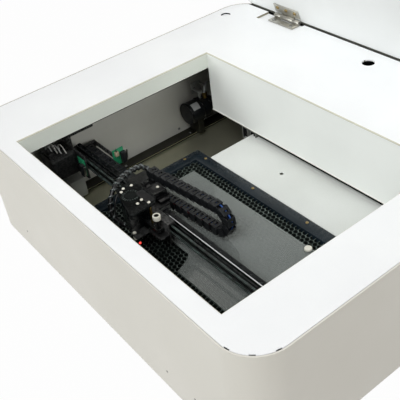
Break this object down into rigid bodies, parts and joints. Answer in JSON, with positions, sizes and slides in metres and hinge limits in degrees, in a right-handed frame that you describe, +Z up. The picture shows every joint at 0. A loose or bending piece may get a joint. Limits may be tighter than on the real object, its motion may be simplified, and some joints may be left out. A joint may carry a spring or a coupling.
{
  "type": "desktop laser cutter",
  "caption": "Low white desktop laser cutter with its lid open: sliding gantry and laser head over a mesh bed in a round-cornered sheet-metal case.",
  "frame": {"origin": "centre of the footprint, on the surface the feet stand on", "axes": "+X to the right seen from the front, +Y to the rear where the lid is hinged, +Z up"},
  "size_m": [0.66, 0.567, 0.7162],
  "materials": {
    "white_paint": "matt white powder coat",
    "grey_paint": "matt grey paint",
    "black_metal": "satin black",
    "steel": "satin",
    "zinc_sheet": "dull galvanised sheet",
    "black_plastic": "matt",
    "white_plastic": "matt ivory",
    "clear_plastic": "clear acrylic",
    "green_board": "solder mask",
    "brass": "satin",
    "rubber": "matt",
    "grey_case": "matt grey"
  },
  "bodies": {
    "case": {"side_shell": "white_paint", "base_pan": "zinc_sheet", "top_panel": "white_paint", "skirt_frame": "white_paint", "skirt_rear": "white_paint", "inner_wall_left": "grey_paint", "inner_wall_right": "grey_paint", "foot_front_left": "rubber", "foot_front_right": "rubber", "foot_rear_left": "rubber", "foot_rear_right": "rubber", "hinge_left_lower": "steel", "hinge_right_lower": "steel", "bed_tray": "black_metal", "bed_mesh": "black_metal", "bed_plate": "white_paint", "clear_sheet": "clear_plastic", "sheet_magnet": "white_plastic", "y_rail_left": "steel", "y_rail_right": "steel", "y_motor": "black_metal", "y_belt_left": "rubber", "y_belt_right": "rubber", "air_pump": "black_plastic", "power_supply": "steel", "control_board": "green_board", "driver_box": "grey_case", "exhaust_fan": "black_plastic", "power_inlet": "black_plastic", "power_switch": "black_plastic"},
    "lid": {"lid_panel": "white_paint", "hinge_left_upper": "steel", "hinge_right_upper": "steel"},
    "y_shaft": {"y_drive_shaft": "steel"},
    "y_idler_l": {"y_idler_left": "steel"},
    "y_idler_r": {"y_idler_right": "steel"},
    "gantry": {"gantry_beam": "black_metal", "x_rail": "steel", "gantry_end_left": "black_metal", "gantry_end_right": "black_metal", "x_motor": "black_metal", "x_belt": "rubber", "drag_chain": "black_plastic", "endstop_x": "green_board", "endstop_y": "green_board"},
    "x_motor_pulley": {"x_pulley": "steel"},
    "x_idler_wheel": {"x_idler": "steel"},
    "x_switch_lever": {"endstop_x_lever": "steel"},
    "y_switch_lever": {"endstop_y_lever": "steel"},
    "carriage": {"carriage_block": "steel", "carriage_plate": "black_metal", "wire_bundle": "black_plastic"},
    "focus_knob_body": {"focus_knob": "white_plastic"},
    "laser_head": {"laser_body": "black_metal", "head_cover": "black_plastic", "laser_nozzle": "brass", "focus_guide": "brass"},
    "cooling_fan": {"head_fan": "black_plastic"},
    "exhaust_wheel": {"exhaust_rotor": "black_plastic"},
    "rocker": {"power_rocker": "black_plastic"}
  },
  "joints": [
    {"name": "lid_hinge", "type": "hinge", "parent": "case", "child": "lid", "pos_m": [0, 0.26855, 0.197], "axis": [-1, 0, 0], "range_deg": [-70, 0]},
    {"name": "gantry_slide", "type": "slide", "parent": "case", "child": "gantry", "axis": [0, 1, 0], "range_m": [-0.06, 0.165]},
    {"name": "carriage_slide", "type": "slide", "parent": "gantry", "child": "carriage", "axis": [1, 0, 0], "range_m": [-0.12, 0.215], "deforming": ["drag_chain"]},
    {"name": "focus_slide", "type": "slide", "parent": "carriage", "child": "laser_head", "axis": [0, 0, 1], "range_m": [-0.004, 0.006], "deforming": ["wire_bundle"]},
    {"name": "focus_knob_turn", "type": "hinge", "parent": "carriage", "child": "focus_knob_body", "pos_m": [0.003, -0.17095, 0.128], "axis": [0, 0, 1], "range_deg": [-1200, 1800]},
    {"name": "cooling_fan_spin", "type": "hinge", "parent": "laser_head", "child": "cooling_fan", "pos_m": [-0.042, -0.17945, 0.138], "axis": [0, 0, 1], "continuous": true},
    {"name": "exhaust_fan_spin", "type": "hinge", "parent": "case", "child": "exhaust_wheel", "pos_m": [-0.205, 0.26505, 0.105], "axis": [0, 1, 0], "continuous": true},
    {"name": "y_shaft_turn", "type": "hinge", "parent": "case", "child": "y_shaft", "pos_m": [0, 0.13655, 0.161], "axis": [1, 0, 0], "continuous": true},
    {"name": "y_idler_left_turn", "type": "hinge", "parent": "case", "child": "y_idler_l", "pos_m": [-0.279, -0.25695, 0.161], "axis": [1, 0, 0], "continuous": true},
    {"name": "y_idler_right_turn", "type": "hinge", "parent": "case", "child": "y_idler_r", "pos_m": [0.279, -0.25695, 0.161], "axis": [1, 0, 0], "continuous": true},
    {"name": "x_pulley_turn", "type": "hinge", "parent": "gantry", "child": "x_motor_pulley", "pos_m": [-0.251, -0.15645, 0.104], "axis": [0, 1, 0], "continuous": true},
    {"name": "x_idler_turn", "type": "hinge", "parent": "gantry", "child": "x_idler_wheel", "pos_m": [0.256, -0.15645, 0.104], "axis": [0, 1, 0], "continuous": true},
    {"name": "x_switch_press", "type": "hinge", "parent": "gantry", "child": "x_switch_lever", "pos_m": [-0.2019, -0.16885, 0.094], "axis": [0, -1, 0], "range_deg": [0, 8], "stiffness_Nm_per_rad": 0.02},
    {"name": "y_switch_press", "type": "hinge", "parent": "gantry", "child": "y_switch_lever", "pos_m": [-0.1957, -0.09485, 0.09], "axis": [1, 0, 0], "range_deg": [0, 8], "stiffness_Nm_per_rad": 0.02},
    {"name": "power_rocker_tilt", "type": "hinge", "parent": "case", "child": "rocker", "pos_m": [0.17, 0.28205, 0.056], "axis": [1, 0, 0], "range_deg": [0, 14]}
  ],
  "couplings": [
    {"joint": "y_shaft_turn", "follows": "gantry_slide", "rad_per_m": 142.86},
    {"joint": "y_idler_left_turn", "follows": "gantry_slide", "rad_per_m": 142.86},
    {"joint": "y_idler_right_turn", "follows": "gantry_slide", "rad_per_m": 142.86},
    {"joint": "x_pulley_turn", "follows": "carriage_slide", "rad_per_m": 142.86},
    {"joint": "x_idler_turn", "follows": "carriage_slide", "rad_per_m": 142.86},
    {"joint": "focus_knob_turn", "follows": "focus_slide", "rad_per_m": 5026.5}
  ]
}
